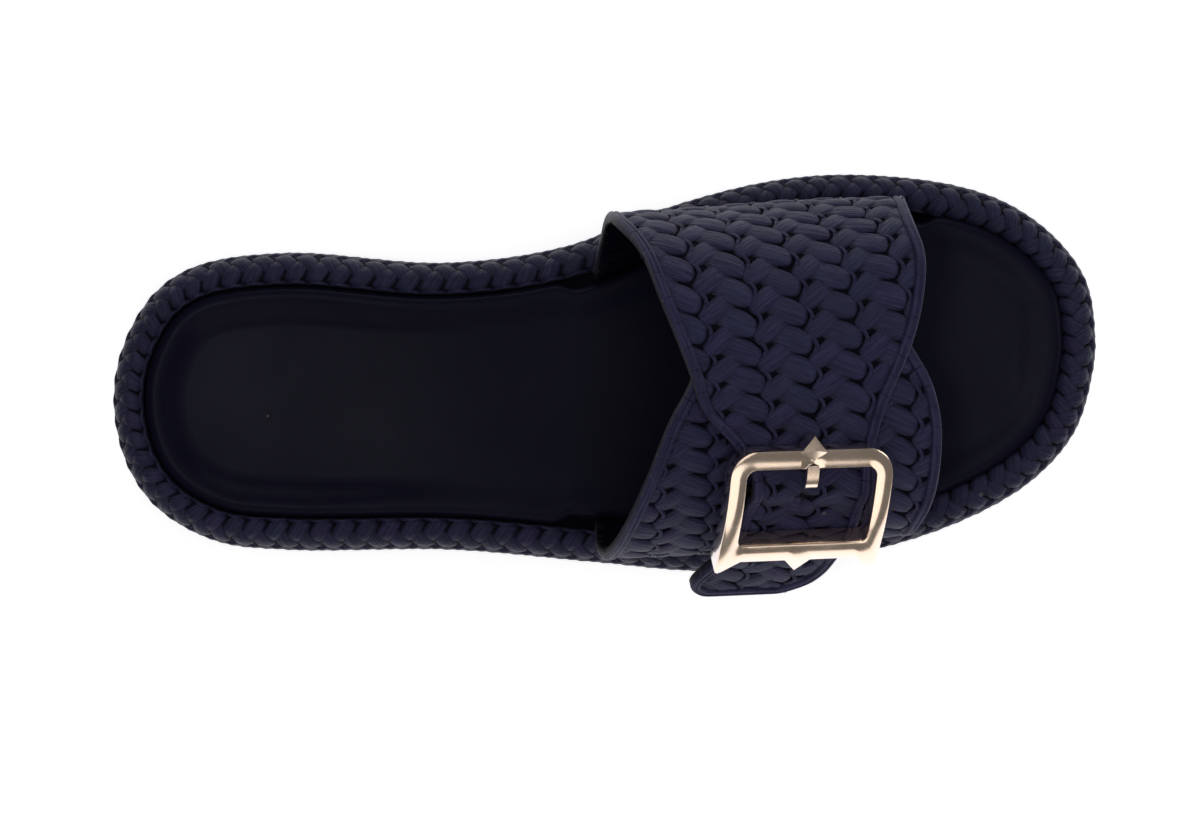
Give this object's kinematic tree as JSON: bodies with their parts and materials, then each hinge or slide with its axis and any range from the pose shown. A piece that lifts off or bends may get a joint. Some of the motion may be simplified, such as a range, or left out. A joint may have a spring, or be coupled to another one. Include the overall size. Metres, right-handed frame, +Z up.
{
  "type": "slide sandal",
  "caption": "Right slide sandal with a platform sole, braided rim, padded insole, two crossing woven-look straps and a fastened metal buckle.",
  "frame": {"origin": "on the floor, under the middle of the sole's length", "axes": "+X to the toe, +Y to the medial side, +Z up; metres"},
  "size_m": [0.2628, 0.1117, 0.089],
  "materials": {
    "rubber": "matte moulded navy rubber with a braided surface",
    "footbed": "matte near-black padded synthetic leather",
    "buckle_metal": "polished pale gold plating"
  },
  "bodies": {
    "root": {"sole": "rubber", "insole": "footbed", "strap_medial": "rubber", "strap_lateral": "rubber", "buckle_frame": "buckle_metal", "buckle_prong": "buckle_metal"}
  },
  "joints": []
}
